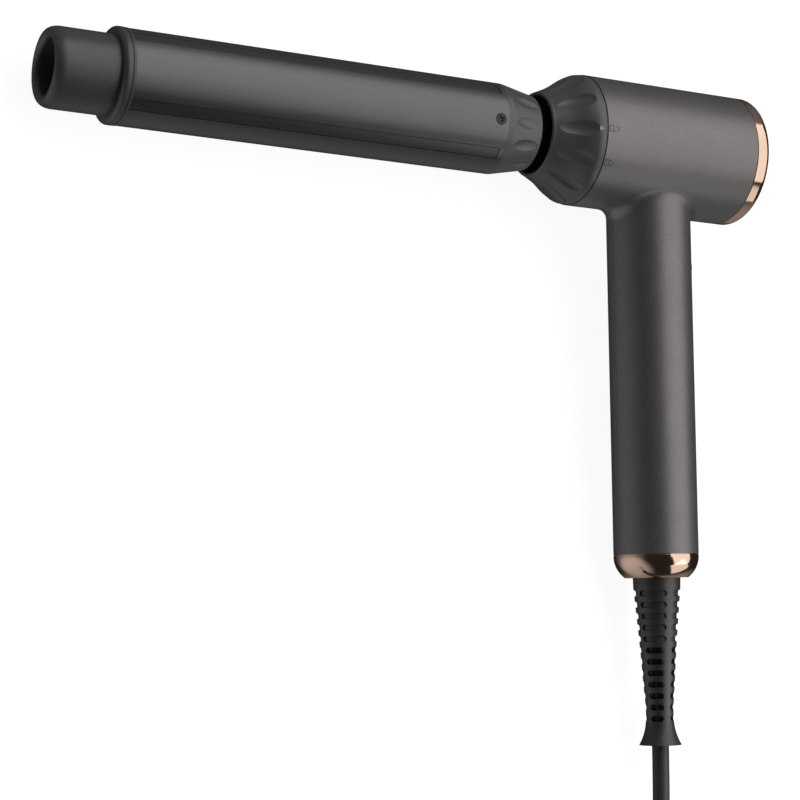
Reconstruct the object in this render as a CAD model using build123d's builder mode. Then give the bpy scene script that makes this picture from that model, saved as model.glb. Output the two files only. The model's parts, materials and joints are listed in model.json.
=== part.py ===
"""Pistol-shaped curling iron: barrel on a lock ring, upright grip, swivel cord.

Design frame while modelling: the barrel axis is X with the tip towards -X, the grip
hangs from the origin towards -Y, and Z points out of the right-hand side. The finished
pieces are then laid on their left side on the plane z = 0.
"""
from build123d import *
from math import cos, pi, radians, sin, sqrt, tan
import os

# ---------------------------------------------------------------- driving dimensions
barrel_r = 19.0            # 38 mm curling barrel
head_r = 27.8              # body cylinder behind the barrel
grip_r = 18.1              # upright handle
grip_rake = 2.8            # degrees that the grip's foot is swept rearward
wall = 2.2                 # housing wall

tip_x = -273.0             # front rim of the cool tip
tip_r = 15.95
tip_bore_r = 11.0
tip_bore_floor = -251.0
tip_bore_front = tip_x + 5.5   # where the bore meets the rounded lip
tip_lip_end = tip_x + 8.0      # where the lip meets the outer wall
tip_rear = -238.0
tip_spigot_r = 13.9
ring_x = -247.0            # front of the tip ring
ring_r = 19.2
tube_front = -242.2
tube_rear = -79.0
tube_bore_r = 17.0
strip_angles = (45, 135, 225, 315)
strip_width = 15.0         # degrees that one strip spans
strip_gap = 0.9            # degrees of open seam at each side of a strip
strip_floor_r = 18.0
strip_r = 18.82
collar_rear = -61.6
collar_rear_r = 15.9
screw_x = -83.0
screw_head_r = 2.4
screw_shank_r = 1.1
screw_seat = 0.5           # depth of the screw's seat in the barrel
screw_slot = (2.9, 0.6)    # length and width of the cross recess

neck_r = 13.0              # spigot that enters the body
spigot_rear = -15.0
socket_bore_r = 13.4
socket_r = 16.5
socket_front = -50.0
lug_front = -53.0
lug_rear = -50.6
lug_width = 14.0           # degrees
lug_inner_r = 11.6
lug_angles = (60, 180, 300)
lock_turn = 30.0           # degrees from open to locked

lock_front = -57.6
lock_rear = -37.1
lock_r = 27.5
head_front = -36.8
head_rear = 38.8
trim_rear = 46.0

grip_end = 174.0           # stations along the grip, from the barrel axis
cap_end = 184.0
boot_end = 254.5
boot_r = 10.2
cord_r = 3.65
running = 0.05             # radial clearance of the running fits
gap = 0.3                  # clearance between parts that move past each other

grip_dir = Vector(sin(radians(grip_rake)), -cos(radians(grip_rake)), 0)
grip_axis = Axis((0, 0, 0), grip_dir)
GRIP = Plane(origin=(0, 0, 0), x_dir=grip_dir, z_dir=(0, 0, 1))   # x: station, y: rearward


# ---------------------------------------------------------------- shared operations
def turn(points, plane=Plane.XY, axis=Axis.X, mode=Mode.ADD):
    """Revolve the closed outline of (station, radius) points about an axis."""
    with BuildSketch(plane) as outline:
        with BuildLine():
            Polyline(*points, close=True)
        make_face()
    revolve(outline.sketch, axis=axis, mode=mode)


def turn_on_grip(points, mode=Mode.ADD):
    turn(points, GRIP, grip_axis, mode)


def about_barrel(angle):
    """Plane at the barrel axis whose z points out at an angle from +Z towards +Y."""
    a = radians(angle)
    return Plane(origin=(0, 0, 0), x_dir=(1, 0, 0), z_dir=(0, sin(a), cos(a)))


def about_grip(angle):
    """Plane at the grip axis whose z points out at an angle from rearward towards +Z."""
    a = radians(angle)
    out = GRIP.y_dir * cos(a) + GRIP.z_dir * sin(a)
    return Plane(origin=(0, 0, 0), x_dir=grip_dir, z_dir=out)


def wedge(x0, x1, r0, r1, centre, span):
    """Angular sector of a ring about the barrel axis, from x0 to x1."""
    half = radians(span / 2)
    with BuildPart(mode=Mode.PRIVATE) as sector:
        with BuildSketch(Plane.YZ.offset(x0)) as section:
            with BuildLine():
                start, end = radians(90 - centre) - half, radians(90 - centre) + half
                p = [(r * cos(a), r * sin(a)) for r, a in ((r0, start), (r1, start), (r1, end), (r0, end))]
                mid = (start + end) / 2
                Line(p[0], p[1])
                ThreePointArc(p[1], (r1 * cos(mid), r1 * sin(mid)), p[2])
                Line(p[2], p[3])
                ThreePointArc(p[3], (r0 * cos(mid), r0 * sin(mid)), p[0])
            make_face()
        extrude(section.sketch, amount=x1 - x0)
    return sector.part


def dimple(start, end, width, depth):
    """Lemon-shaped cutter whose floor lies `depth` under the line from start to end."""
    (x0, r0), (x1, r1) = start, end
    length = sqrt((x1 - x0) ** 2 + (r1 - r0) ** 2)
    rho = (width ** 2 / 4 + depth ** 2) / (2 * depth)
    out = (-(r1 - r0) / length, (x1 - x0) / length)
    stretch = 1 / sqrt(depth / rho)
    centre = ((x0 + x1) / 2 + out[0] * (rho - depth), (r0 + r1) / 2 + out[1] * (rho - depth))
    along = ((x1 - x0) / 2 * stretch, (r1 - r0) / 2 * stretch)
    a = (centre[0] - along[0], centre[1] - along[1])
    b = (centre[0] + along[0], centre[1] + along[1])
    low = (centre[0] - out[0] * rho, centre[1] - out[1] * rho)
    with BuildPart(mode=Mode.PRIVATE) as lemon:
        with BuildSketch(Plane.XY) as half:
            with BuildLine():
                ThreePointArc(a, low, b)
                Line(b, a)
            make_face()
        revolve(half.sketch, axis=Axis((a[0], a[1], 0), (b[0] - a[0], b[1] - a[1], 0)))
    return lemon.part


def rod(points, radius, bend):
    """Round bar along straight runs joined by arcs of one bend radius."""
    with BuildLine(mode=Mode.PRIVATE) as path:
        if len(points) > 2:
            FilletPolyline(*points, radius=bend)
        else:
            Line(*points)
    with BuildSketch(Plane(origin=path.line @ 0, z_dir=path.line % 0)) as section:
        Circle(radius)
    sweep(section.sketch, path=path.line)


def on_grip(station, rearward, side):
    """Point given by its station along the grip and its offsets rearward and to the right."""
    p = GRIP.from_local_coords(Vector(station, rearward, side))
    return (p.X, p.Y, p.Z)


# ---------------------------------------------------------------- barrel
with BuildPart() as cool_tip:
    with BuildSketch(Plane.XY) as tip_outline:
        with BuildLine():
            Line((tip_bore_floor, 0), (tip_bore_floor, tip_bore_r))
            Line((tip_bore_floor, tip_bore_r), (tip_bore_front, tip_bore_r))
            Spline((tip_bore_front, tip_bore_r), (tip_x, 13.1), (tip_x + 2.4, 15.1), (tip_lip_end, tip_r),
                   tangents=[(-1, 0.0), (1, 0.0)])
            Line((tip_lip_end, tip_r), (ring_x, tip_r))
            Polyline((ring_x, tip_r), (ring_x, tip_spigot_r), (tip_rear, tip_spigot_r), (tip_rear, 0),
                     (tip_bore_floor, 0))
        make_face()
    revolve(tip_outline.sketch, axis=Axis.X)
    turn([(tip_bore_floor - 1, 0), (tip_bore_floor - 1, 3.4), (tip_bore_floor + 3, 3.4),
          (tip_bore_floor + 3, 1.6), (tip_rear + 1, 1.6), (tip_rear + 1, 0)], mode=Mode.SUBTRACT)
cool_tip.part.label = "cool_tip"

with BuildPart() as tip_screw:
    turn([(-250.4, 0), (-250.4, 2.6), (-248.0, 2.9), (-248.0, 1.45), (-224.0, 1.45), (-223.0, 0.6),
          (-223.0, 0)])
    with BuildSketch(Plane.YZ.offset(-250.5)):
        Rectangle(3.0, 0.6)
        Rectangle(0.6, 3.0)
    extrude(amount=1.1, mode=Mode.SUBTRACT)
tip_screw.part.label = "tip_screw"

with BuildPart() as tip_ring:
    with BuildSketch(Plane.XY) as flange_outline:
        with BuildLine():
            Line((ring_x, 14.0), (ring_x, 17.4))
            ThreePointArc((ring_x, 17.4), (ring_x + 0.55, 18.65), (ring_x + 1.8, ring_r))
            Polyline((ring_x + 1.8, ring_r), (tube_front - 1.5, ring_r), (tube_front - 1.5, ring_r - 0.35),
                     (tube_front - 1.1, ring_r - 0.35), (tube_front - 1.1, ring_r - 0.05),
                     (tube_front, ring_r - 0.05), (tube_front, 16.9), (tube_front + 6.0, 16.9),
                     (tube_front + 6.0, 14.0), (ring_x, 14.0))
        make_face()
    revolve(flange_outline.sketch, axis=Axis.X)
tip_ring.part.label = "tip_ring"

with BuildPart() as barrel_tube:
    turn([(tube_front, tube_bore_r), (tube_front, barrel_r), (tube_rear, barrel_r), (tube_rear, tube_bore_r)])
    for angle in strip_angles:
        groove = wedge(tube_front - 1, tube_rear - 2.0, strip_floor_r, barrel_r + 1, angle,
                       strip_width + 2 * strip_gap)
        add(groove, mode=Mode.SUBTRACT)
    for angle in (0, 180):
        with BuildSketch(about_barrel(angle).offset(barrel_r)):
            with Locations((screw_x, 0)):
                Circle(screw_head_r + running)
        extrude(amount=-screw_seat, mode=Mode.SUBTRACT)
        with BuildSketch(about_barrel(angle).offset(barrel_r - screw_seat)):
            with Locations((screw_x, 0)):
                Circle(screw_shank_r + 0.15)
        extrude(amount=-3.0, mode=Mode.SUBTRACT)
barrel_tube.part.label = "barrel_tube"

barrel_strips = []
for number, angle in enumerate(strip_angles, start=1):
    with BuildPart() as barrel_strip:
        add(wedge(tube_front + 0.1, tube_rear - 2.2, strip_floor_r, strip_r, angle, strip_width))
    barrel_strip.part.label = f"barrel_strip_{number}"
    barrel_strips.append(barrel_strip)

with BuildPart() as barrel_collar:
    turn([(-91.0, 12.0), (-91.0, 16.9), (tube_rear, 16.9), (tube_rear, barrel_r), (-76.6, barrel_r),
          (-76.0, 18.9), (collar_rear, collar_rear_r), (collar_rear, 12.0)])
    scoop = dimple((-75.0, 18.67), (-62.9, 16.18), 5.3, 0.85)
    for step in range(12):
        add(scoop, rotation=(30 * step + 90, 0, 0), mode=Mode.SUBTRACT)
    for angle in (0, 180):
        with BuildSketch(about_barrel(angle).offset(barrel_r)):
            with Locations((screw_x, 0)):
                Circle(screw_shank_r + running)
        extrude(amount=-5.5, mode=Mode.SUBTRACT)
barrel_collar.part.label = "barrel_collar"

with BuildPart() as barrel_screws:
    for angle in (0, 180):
        with BuildSketch(about_barrel(angle).offset(barrel_r + 0.15)):
            with Locations((screw_x, 0)):
                Circle(screw_head_r)
        extrude(amount=-0.65)
        with BuildSketch(about_barrel(angle).offset(barrel_r - screw_seat)):
            with Locations((screw_x, 0)):
                Circle(screw_shank_r)
        extrude(amount=-4.8)
        with BuildSketch(about_barrel(angle).offset(barrel_r + 0.2)):
            with Locations((screw_x, 0)):
                Rectangle(screw_slot[0], screw_slot[1], rotation=20)
                Rectangle(screw_slot[1], screw_slot[0], rotation=20)
        extrude(amount=-0.9, mode=Mode.SUBTRACT)
barrel_screws.part.label = "barrel_screws"

with BuildPart() as barrel_spigot:
    turn([(-88.0, 9.0), (-88.0, 11.9), (collar_rear, 11.9), (collar_rear, neck_r), (spigot_rear, neck_r),
          (spigot_rear, 9.0)])
    for angle in lug_angles:
        add(wedge(lug_front - 0.4, spigot_rear + 1, 11.2, neck_r + 1, angle, lug_width + 4),
            mode=Mode.SUBTRACT)
        add(wedge(lug_front - 0.4, lug_rear + 0.4, 11.2, neck_r + 1, angle - lock_turn / 2,
                  lug_width + 4 + lock_turn), mode=Mode.SUBTRACT)
barrel_spigot.part.label = "barrel_spigot"

pin_spots = [(5.2 * cos(radians(a)), 5.2 * sin(radians(a))) for a in (45, 135, 225, 315)]
pin_r = 1.2

with BuildPart() as plug_block:
    turn([(spigot_rear - 4, 0), (spigot_rear - 4, 8.9), (spigot_rear, 8.9), (spigot_rear, 0)])
    with BuildSketch(Plane.YZ.offset(spigot_rear - 5)):
        with Locations(*pin_spots):
            Circle(pin_r)
    extrude(amount=6, mode=Mode.SUBTRACT)
plug_block.part.label = "plug_block"

with BuildPart() as plug_pins:
    with BuildSketch(Plane.YZ.offset(spigot_rear - 6)):
        with Locations(*pin_spots):
            Circle(pin_r)
    extrude(amount=14)
    chamfer(plug_pins.faces().sort_by(Axis.X)[-4:].edges(), 0.4)
plug_pins.part.label = "plug_pins"

core_front = -232.0
core_rear = -96.0
with BuildPart() as heater_core:
    turn([(core_front, 0), (core_front, 16.85), (core_rear, 16.85), (core_rear, 0)])
    with BuildSketch(Plane.YZ.offset(core_front + 12)):
        Rectangle(24.0, 4.4)
    extrude(amount=core_rear - core_front, mode=Mode.SUBTRACT)
    with BuildSketch(Plane.YZ.offset(core_front - 1)):
        with Locations((0, 9.5), (0, -9.5)):
            SlotOverall(15.0, 7.0)
    extrude(amount=core_rear - core_front + 2, mode=Mode.SUBTRACT)
    with BuildSketch(Plane.YZ.offset(core_front - 1)):
        Circle(1.5)
    extrude(amount=14, mode=Mode.SUBTRACT)
heater_core.part.label = "heater_core"

with BuildPart() as heater_plates:
    for step in range(3):
        with BuildSketch(Plane.YZ.offset(core_front + 16 + 38 * step)):
            Rectangle(20.0, 2.4)
        extrude(amount=34)
heater_plates.part.label = "heater_plates"

with BuildPart() as heater_film:
    with BuildSketch(Plane.YZ.offset(core_front + 14)):
        Rectangle(22.4, 4.2)
        Rectangle(20.2, 2.5, mode=Mode.SUBTRACT)
    extrude(amount=core_rear - core_front - 16)
heater_film.part.label = "heater_film"

with BuildPart() as thermistor:
    with BuildSketch(Plane.YZ.offset(core_rear + 0.2)):
        with Locations((0, 5.0)):
            Circle(1.3)
    extrude(amount=6)
thermistor.part.label = "thermistor"

with BuildPart() as barrel_leads:
    for side in (-1, 1):
        rod([(core_rear - 1.5, 4 * side, 0), (core_rear + 10, 4 * side, 0),
             (spigot_rear - 14, 3.68 * side, 3.68 * side), (spigot_rear - 6, 3.68 * side, 3.68 * side)],
            0.8, 4)
barrel_leads.part.label = "barrel_leads"

# ---------------------------------------------------------------- lock ring and socket
with BuildPart() as lock_ring:
    with BuildSketch(Plane.XY) as ring_outline:
        with BuildLine():
            lip = ThreePointArc((lock_front + 0.6, 16.3), (lock_front, 17.1), (lock_front + 0.9, 18.1))
            flare = Spline(lip @ 1, (-53.6, 19.55), (-48.6, 22.2), (-43.6, 25.6), (-40.6, 27.1),
                           (-38.3, lock_r), tangents=[(1, 0.4), (1, 0.02)])
            Polyline(flare @ 1, (lock_rear, lock_r), (lock_rear, 20.0), (head_front + wall + gap, 20.0),
                     (head_front + wall + gap, 22.0), (-32.3, 22.0), (-32.3, socket_r + running),
                     (lug_rear + 0.5, socket_r + running), (lug_rear, socket_r + running),
                     (lug_front, 17.2), (lug_front - 1.0, 15.8), lip @ 0)
        make_face()
    revolve(ring_outline.sketch, axis=Axis.X)
    for angle in lug_angles:
        add(wedge(lug_front, lug_rear, lug_inner_r, 17.6, angle, lug_width))
    scoop = dimple((-54.6, 19.1), (-40.6, 27.0), 7.2, 1.2)
    for step in range(12):
        add(scoop, rotation=(30 * step + 90, 0, 0), mode=Mode.SUBTRACT)
lock_ring.part.label = "lock_ring"

with BuildPart() as socket:
    turn([(socket_front, socket_bore_r), (socket_front, socket_r), (-31.8, socket_r), (-31.8, 25.5),
          (-29.6, 25.5), (-29.6, socket_r), (-9.5, socket_r), (-9.5, 0), (-12.5, 0),
          (-12.5, socket_bore_r)])
    with BuildSketch(Plane.YZ.offset(-13.5)):
        with Locations(*pin_spots):
            Circle(2.0)
    extrude(amount=6, mode=Mode.SUBTRACT)
socket.part.label = "socket"

with BuildPart() as contact_sleeves:
    with BuildSketch(Plane.YZ.offset(-12.5)):
        with Locations(*pin_spots):
            Circle(2.0)
            Circle(pin_r + running, mode=Mode.SUBTRACT)
    extrude(amount=9)
    with BuildSketch(Plane.YZ.offset(-5.5)):
        with Locations(*pin_spots):
            Circle(1.9)
    extrude(amount=2)
contact_sleeves.part.label = "contact_sleeves"

# ---------------------------------------------------------------- housing
seam_half = 0.12
panel_s0, panel_s1 = 40.0, 88.0
panel_half = 7.0
board_s0, board_s1 = 36.0, 112.0
board_low, board_high = 5.4, 7.0
housing_screw_spots = ((60.0, -9.0), (150.0, 0.0))

with BuildPart() as shell:
    turn([(head_front, 0), (head_front, head_r), (head_rear, head_r), (head_rear, 0)])
    grip_start = Plane(origin=(0, 0, 0), x_dir=GRIP.y_dir, z_dir=grip_dir)
    with BuildSketch(grip_start) as grip_section:
        Circle(grip_r)
    extrude(grip_section.sketch, amount=grip_end)
    blend_edges = shell.edges().filter_by(
        lambda e: e.geom_type not in (GeomType.LINE, GeomType.CIRCLE) and e.center().Y < -15)
    fillet(blend_edges, radius=5.0)
    turn([(head_front + wall, 0), (head_front + wall, head_r - wall), (head_rear + 1, head_r - wall),
          (head_rear + 1, 0)], mode=Mode.SUBTRACT)
    turn([(head_front - 1, 0), (head_front - 1, 20.0 + gap), (head_front + 5, 20.0 + gap),
          (head_front + 5, 0)], mode=Mode.SUBTRACT)
    with BuildSketch(grip_start) as grip_hollow:
        Circle(grip_r - wall)
    extrude(grip_hollow.sketch, amount=grip_end + 1, mode=Mode.SUBTRACT)
    # ribs that clamp the socket's flange
    turn([(-29.5, 23.6), (-29.5, head_r - wall + 0.2), (-27.5, head_r - wall + 0.2), (-27.5, 23.6)])
    # window for the control panel
    with BuildSketch(about_grip(0)) as window:
        with Locations(((panel_s0 + panel_s1) / 2, 0)):
            SlotOverall(panel_s1 - panel_s0 + 0.3, 2 * panel_half + 0.3)
    extrude(window.sketch, amount=grip_r + 2, mode=Mode.SUBTRACT)


def seam_and_posts(side):
    """Cut the parting groove and add the screw posts and board rails of one half (side +1 or -1)."""
    near = Plane.XY.offset(-seam_half) if side > 0 else Plane.XY.offset(seam_half)
    with BuildPart(mode=Mode.PRIVATE) as core:
        turn([(head_front, 0), (head_front, head_r - 0.5), (head_rear, head_r - 0.5), (head_rear, 0)])
        with BuildSketch(grip_start) as round_core:
            Circle(grip_r - 0.5)
        extrude(round_core.sketch, amount=grip_end)
    with BuildPart(mode=Mode.PRIVATE) as groove:
        add(shell.part)
        with BuildSketch(near) as slab:
            Rectangle(1000, 1000)
        extrude(slab.sketch, amount=2 * seam_half, mode=Mode.INTERSECT)
        add(core.part, mode=Mode.SUBTRACT)
    add(groove.part, mode=Mode.SUBTRACT)
    with BuildPart(mode=Mode.PRIVATE) as inside:
        with BuildSketch(grip_start.offset(20)) as hollow:
            Circle(grip_r - wall + 0.2)
        extrude(hollow.sketch, amount=grip_end - 30)
    for station, rearward in housing_screw_spots:
        with BuildPart(mode=Mode.PRIVATE) as post:
            with BuildSketch(GRIP) as post_section:
                with Locations((station, rearward)):
                    Circle(3.0)
            extrude(post_section.sketch, amount=side * grip_r)
            add(inside.part, mode=Mode.INTERSECT)
        add(post.part)
    for station in (panel_s0 + 2, panel_s1 + 12):
        with BuildPart(mode=Mode.PRIVATE) as rail:
            with BuildSketch(GRIP) as rail_section:
                with Locations((station, (board_low + board_high) / 2)):
                    Rectangle(4.0, 6.0)
            extrude(rail_section.sketch, amount=side * grip_r)
            with BuildSketch(GRIP) as keep_out:
                with Locations((station, 0)):
                    Rectangle(8.0, 40.0)
            extrude(keep_out.sketch, amount=side * 11.0, mode=Mode.SUBTRACT)
            with BuildSketch(GRIP) as slot:
                with Locations((station, (board_low + board_high) / 2)):
                    Rectangle(8.0, board_high - board_low + 0.1)
            extrude(slot.sketch, amount=side * 13.1, mode=Mode.SUBTRACT)
            add(inside.part, mode=Mode.INTERSECT)
        add(rail.part)


with BuildPart() as right_housing:
    add(shell.part)
    split(bisect_by=Plane.XY, keep=Keep.TOP)
    seam_and_posts(1)
    for station, rearward in housing_screw_spots:
        with BuildSketch(GRIP.offset(-0.1)) as pilot:
            with Locations((station, rearward)):
                Circle(1.05)
        extrude(pilot.sketch, amount=8.1, mode=Mode.SUBTRACT)
right_housing.part.label = "right_housing"

with BuildPart() as left_housing:
    add(shell.part)
    split(bisect_by=Plane.XY, keep=Keep.BOTTOM)
    seam_and_posts(-1)
    for station, rearward in housing_screw_spots:
        with BuildSketch(GRIP.offset(0.1)) as shank_hole:
            with Locations((station, rearward)):
                Circle(1.3)
        extrude(shank_hole.sketch, amount=-30, mode=Mode.SUBTRACT)
        with BuildSketch(GRIP.offset(-8.0)) as head_hole:
            with Locations((station, rearward)):
                Circle(2.3)
        extrude(head_hole.sketch, amount=-30, mode=Mode.SUBTRACT)
left_housing.part.label = "left_housing"

with BuildPart() as housing_screws:
    for station, rearward in housing_screw_spots:
        with BuildSketch(GRIP.offset(-8.0)) as screw_head:
            with Locations((station, rearward)):
                Circle(2.1)
        extrude(screw_head.sketch, amount=-2.0)
        with BuildSketch(GRIP.offset(-8.0)) as shank:
            with Locations((station, rearward)):
                Circle(1.0)
        extrude(shank.sketch, amount=15.0)
        with BuildSketch(GRIP.offset(-10.1)) as recess:
            with Locations((station, rearward)):
                Rectangle(2.6, 0.6)
                Rectangle(0.6, 2.6)
        extrude(recess.sketch, amount=1.1, mode=Mode.SUBTRACT)
housing_screws.part.label = "housing_screws"

with BuildPart() as rear_ring:
    with BuildSketch(Plane.XY) as trim_outline:
        with BuildLine():
            Polyline((head_rear - 5, 23.8), (head_rear - 5, 25.5), (head_rear, 25.5),
                     (head_rear, head_r - 0.35), (head_rear + 0.4, head_r - 0.35),
                     (head_rear + 0.4, head_r), (trim_rear - 3.2, head_r))
            ThreePointArc((trim_rear - 3.2, head_r), (trim_rear - 1.1, 27.0), (trim_rear, 24.6))
            Polyline((trim_rear, 24.6), (trim_rear - 1.4, 23.2), (trim_rear - 3.4, 23.2),
                     (trim_rear - 3.4, 21.6), (trim_rear - 4.6, 21.6), (trim_rear - 4.6, 23.8),
                     (head_rear - 5, 23.8))
        make_face()
    revolve(trim_outline.sketch, axis=Axis.X)
rear_ring.part.label = "rear_ring"

with BuildPart() as rear_cover:
    turn([(trim_rear - 3.3, 0), (trim_rear - 3.3, 23.0), (trim_rear - 1.7, 23.0), (trim_rear - 0.9, 22.2),
          (trim_rear - 0.9, 0)])
    with BuildSketch(Plane.XY) as rings:
        with Locations(*[(trim_rear - 0.9, r) for r in (8, 12, 16, 20)]):
            Rectangle(0.8, 0.5)
    revolve(rings.sketch, axis=Axis.X, mode=Mode.SUBTRACT)
rear_cover.part.label = "rear_cover"

# ---------------------------------------------------------------- controls
panel_mid = (panel_s0 + panel_s1) / 2
power_s, minus_s, plus_s = panel_s0 + 10.5, panel_s0 + 25.5, panel_s0 + 36.5
power_button_r, step_button_r = 4.6, 3.5
lens_spots = [(panel_s0 + 19.0, y) for y in (-3.0, 0.0, 3.0)]
travel = 0.8
cap_r = grip_r + 0.4        # buttons stand just proud of the panel
button_foot = 12.4

with BuildPart() as control_panel:
    with BuildSketch(about_grip(0)) as pill:
        with Locations((panel_mid, 0)):
            SlotOverall(panel_s1 - panel_s0, 2 * panel_half)
    extrude(pill.sketch, amount=grip_r + 2)
    with BuildPart(mode=Mode.PRIVATE) as tube_wall:
        with BuildSketch(grip_start.offset(20)) as wall_section:
            Circle(grip_r - 0.1)
            Circle(grip_r - wall, mode=Mode.SUBTRACT)
        extrude(wall_section.sketch, amount=100)
    add(tube_wall.part, mode=Mode.INTERSECT)
    with BuildSketch(about_grip(0)) as holes:
        with Locations((power_s, 0)):
            Circle(power_button_r + gap)
        with Locations((minus_s, 0), (plus_s, 0)):
            Circle(step_button_r + gap)
        with Locations(*lens_spots):
            Circle(0.8)
    extrude(holes.sketch, amount=grip_r + 2, mode=Mode.SUBTRACT)
control_panel.part.label = "control_panel"


with BuildSketch() as power_mark:
    Circle(2.0)
    Circle(1.55, mode=Mode.SUBTRACT)
    Rectangle(3.0, 1.4, align=(Align.MAX, Align.CENTER), mode=Mode.SUBTRACT)
    with Locations((-1.4, 0)):
        Rectangle(1.9, 0.45)

with BuildSketch() as minus_mark:
    Rectangle(0.5, 2.6)

with BuildSketch() as plus_mark:
    Rectangle(0.5, 2.6)
    Rectangle(2.6, 0.5)


def button(station, radius, mark):
    """Round cap on a flanged stem, with its mark sunk into the top."""
    with BuildSketch(about_grip(0).offset(grip_r - wall - 2.0)) as body:
        with Locations((station, 0)):
            Circle(radius)
    extrude(body.sketch, amount=wall + 2.0 + 0.9)
    with BuildSketch(about_grip(0).offset(grip_r - wall - 2.0)) as flange:
        with Locations((station, 0)):
            Circle(radius + 0.9)
    extrude(flange.sketch, amount=0.8)
    with BuildSketch(about_grip(0).offset(button_foot)) as stem:
        with Locations((station, 0)):
            Circle(1.4)
    extrude(stem.sketch, amount=grip_r - wall - 2.0 - button_foot + 0.2)
    with BuildSketch(about_grip(0).offset(grip_r + 0.5)) as groove:
        with Locations((station, 0)):
            add(mark.sketch)
    extrude(groove.sketch, amount=1.0, mode=Mode.SUBTRACT)


with BuildPart() as power_button:
    button(power_s, power_button_r, power_mark)
power_button.part.label = "power_button"

with BuildPart() as minus_button:
    button(minus_s, step_button_r, minus_mark)
minus_button.part.label = "minus_button"

with BuildPart() as plus_button:
    button(plus_s, step_button_r, plus_mark)
plus_button.part.label = "plus_button"

with BuildPart() as indicator_lenses:
    with BuildSketch(about_grip(0).offset(board_high + 1.4)) as lenses:
        with Locations(*lens_spots):
            Circle(0.75)
    extrude(lenses.sketch, amount=grip_r - board_high - 1.4 - 0.1)
indicator_lenses.part.label = "indicator_lenses"

with BuildPart() as control_board:
    with BuildSketch(about_grip(0).offset(board_low)) as board:
        with Locations(((board_s0 + board_s1) / 2, 0)):
            RectangleRounded(board_s1 - board_s0, 26.0, 1.0)
    extrude(board.sketch, amount=board_high - board_low)
control_board.part.label = "control_board"

with BuildPart() as board_parts:
    with BuildSketch(about_grip(0).offset(board_high)) as switches:
        with Locations((power_s, 0), (minus_s, 0), (plus_s, 0)):
            Rectangle(6.0, 6.0)
    extrude(switches.sketch, amount=3.4)
    with BuildSketch(about_grip(0).offset(board_high + 3.4)) as plungers:
        with Locations((power_s, 0), (minus_s, 0), (plus_s, 0)):
            Circle(1.6)
    extrude(plungers.sketch, amount=button_foot - travel - 0.1 - board_high - 3.4)
    with BuildSketch(about_grip(0).offset(board_high)) as lamps:
        with Locations(*lens_spots):
            Rectangle(1.6, 1.6)
    extrude(lamps.sketch, amount=1.3)
    with BuildSketch(about_grip(0).offset(board_low)) as underside:
        with Locations((board_s0 + 14, 3)):
            RectangleRounded(16.0, 12.0, 1.0)
        with Locations((board_s0 + 60, -2)):
            Rectangle(10.0, 12.0)
    extrude(underside.sketch, amount=-4.5)
board_parts.part.label = "board_parts"

with BuildPart() as socket_leads:
    for side in (-1, 1):
        rod([on_grip(board_s0 + 3, board_low - 1.6, 4 * side), on_grip(22, board_low - 1.6, 4 * side),
             (5.6, -3.68, 3.68 * side), (-3.5, -3.68, 3.68 * side)], 0.8, 3.5)
socket_leads.part.label = "socket_leads"

with BuildPart() as mains_leads:
    for side in (-1, 1):
        rod([on_grip(board_s1 - 3, board_low - 1.3, 3 * side),
             on_grip(board_s1 + 12, board_low - 1.3, 3 * side),
             on_grip(grip_end - 12, 5.6, 3 * side), on_grip(grip_end + 0.4, 5.6, 3 * side)], 1.0, 5)
mains_leads.part.label = "mains_leads"

# ---------------------------------------------------------------- end cap and swivel
opening_r = boot_r + gap
with BuildPart() as end_cap:
    with BuildSketch(GRIP) as cup_outline:
        with BuildLine():
            Polyline((grip_end - 8, 14.3), (grip_end - 8, grip_r - wall - 0.05),
                     (grip_end, grip_r - wall - 0.05), (grip_end, grip_r - 0.35),
                     (grip_end + 0.3, grip_r - 0.35), (grip_end + 0.3, grip_r), (grip_end + 1.4, grip_r))
            ThreePointArc((grip_end + 1.4, grip_r), (grip_end + 6.6, 16.5), (cap_end, 13.4))
            Polyline((cap_end, 13.4), (cap_end, opening_r + 0.6), (cap_end - 0.6, opening_r),
                     (cap_end - 1.8, opening_r), (cap_end - 1.8, 14.3), (grip_end - 8, 14.3))
        make_face()
    revolve(cup_outline.sketch, axis=grip_axis)
end_cap.part.label = "end_cap"

with BuildPart() as brush_plate:
    turn_on_grip([(grip_end + 0.4, 0), (grip_end + 0.4, 14.2), (grip_end + 2.6, 14.2), (grip_end + 2.6, 0)])
brush_plate.part.label = "brush_plate"

with BuildPart() as brushes:
    for y in (5.0, 9.0):
        with BuildSketch(Plane(origin=GRIP.from_local_coords(Vector(grip_end + 2.6, y, 0)), z_dir=grip_dir)):
            Circle(1.0)
        extrude(amount=1.65)
brushes.part.label = "brushes"

with BuildPart() as slip_rings:
    for r in (5.0, 9.0):
        turn_on_grip([(grip_end + 4.3, r - 1.3), (grip_end + 4.3, r + 1.3), (grip_end + 4.8, r + 1.3),
                      (grip_end + 4.8, r - 1.3)])
slip_rings.part.label = "slip_rings"

with BuildPart() as swivel_hub:
    turn_on_grip([(grip_end + 4.8, 0), (grip_end + 4.8, 13.9), (cap_end - 2.1, 13.9), (cap_end - 2.1, 6.5),
                  (cap_end + 4.0, 6.5), (cap_end + 4.0, 0)])
swivel_hub.part.label = "swivel_hub"

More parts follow.
